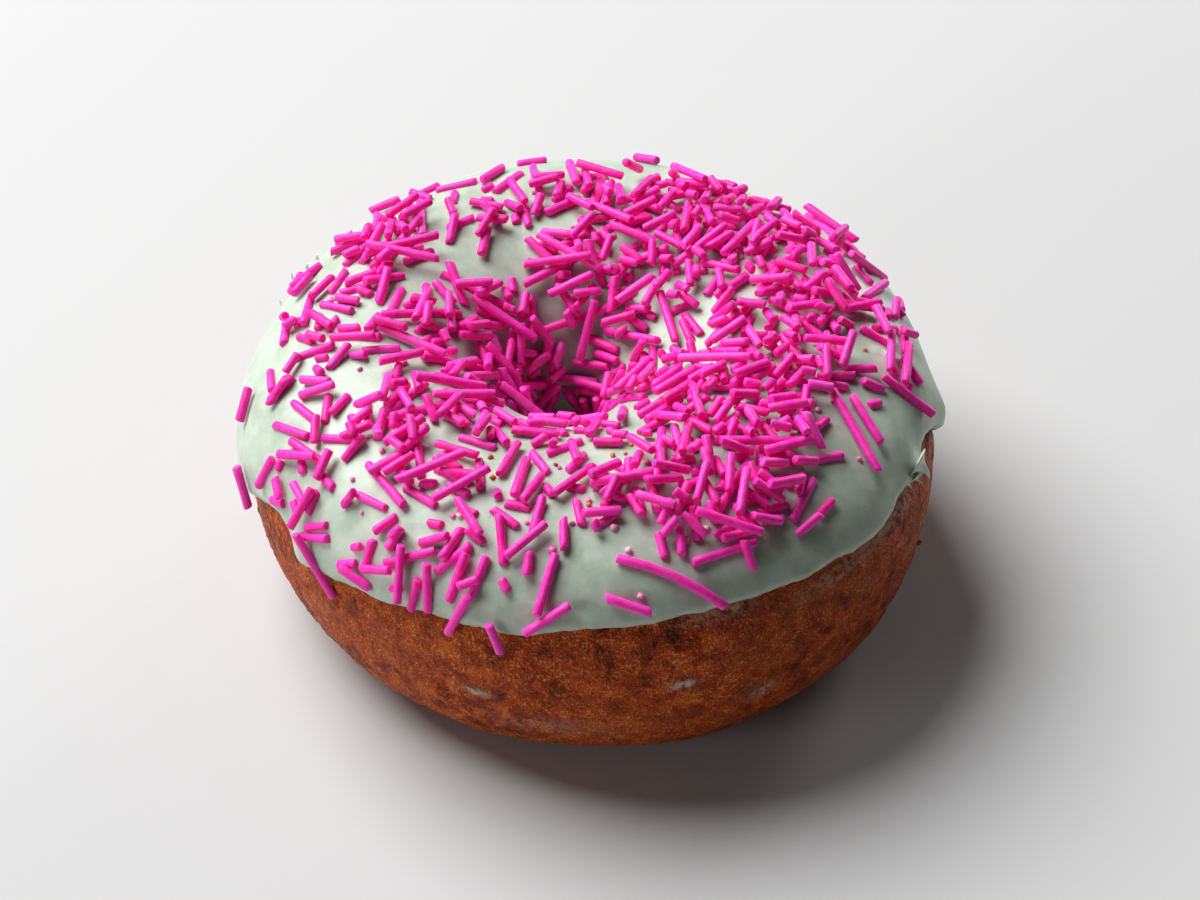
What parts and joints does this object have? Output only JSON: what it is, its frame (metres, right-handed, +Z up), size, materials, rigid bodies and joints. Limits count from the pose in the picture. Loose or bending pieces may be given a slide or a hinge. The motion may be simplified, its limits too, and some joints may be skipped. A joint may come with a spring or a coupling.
{
  "type": "ring doughnut",
  "caption": "Fried ring doughnut with a skin of mint icing over its top and into its hole, scattered with pink sugar strands.",
  "frame": {"origin": "middle of the outline seen from above, on the plane of the underside", "axes": "+Z up, through the hole; -Y is the front, the side shown most; +X to its right"},
  "size_m": [0.094, 0.0934, 0.0445],
  "materials": {
    "crust": "fried crust, satin where oily",
    "icing": "set icing, satin",
    "sugar_strand": "sugar, satin"
  },
  "bodies": {
    "root": {"ring_cake": "crust", "icing": "icing", "sprinkle_01": "sugar_strand", "sprinkle_02": "sugar_strand", "sprinkle_03": "sugar_strand", "sprinkle_04": "sugar_strand", "sprinkle_05": "sugar_strand", "sprinkle_06": "sugar_strand", "sprinkle_07": "sugar_strand", "sprinkle_08": "sugar_strand", "sprinkle_09": "sugar_strand", "sprinkle_10": "sugar_strand", "sprinkle_11": "sugar_strand", "sprinkle_12": "sugar_strand", "sprinkle_13": "sugar_strand", "sprinkle_14": "sugar_strand", "sprinkle_15": "sugar_strand", "sprinkle_16": "sugar_strand", "sprinkle_17": "sugar_strand", "sprinkle_18": "sugar_strand", "sprinkle_19": "sugar_strand", "sprinkle_20": "sugar_strand", "sprinkle_21": "sugar_strand", "sprinkle_22": "sugar_strand", "sprinkle_23": "sugar_strand", "sprinkle_24": "sugar_strand", "sprinkle_25": "sugar_strand", "sprinkle_26": "sugar_strand", "sprinkle_27": "sugar_strand", "sprinkle_28": "sugar_strand", "sprinkle_29": "sugar_strand", "sprinkle_30": "sugar_strand", "sprinkle_31": "sugar_strand", "sprinkle_32": "sugar_strand", "sprinkle_33": "sugar_strand", "sprinkle_34": "sugar_strand", "sprinkle_35": "sugar_strand", "sprinkle_36": "sugar_strand", "sprinkle_37": "sugar_strand", "sprinkle_38": "sugar_strand", "sprinkle_39": "sugar_strand", "sprinkle_40": "sugar_strand", "sprinkle_41": "sugar_strand", "sprinkle_42": "sugar_strand", "sprinkle_43": "sugar_strand", "sprinkle_44": "sugar_strand", "sprinkle_45": "sugar_strand", "sprinkle_46": "sugar_strand", "sprinkle_47": "sugar_strand", "sprinkle_48": "sugar_strand", "sprinkle_49": "sugar_strand", "sprinkle_50": "sugar_strand", "sprinkle_51": "sugar_strand", "sprinkle_52": "sugar_strand", "sprinkle_53": "sugar_strand", "sprinkle_54": "sugar_strand", "sprinkle_55": "sugar_strand", "sprinkle_56": "sugar_strand", "sprinkle_57": "sugar_strand", "sprinkle_58": "sugar_strand"}
  },
  "joints": []
}
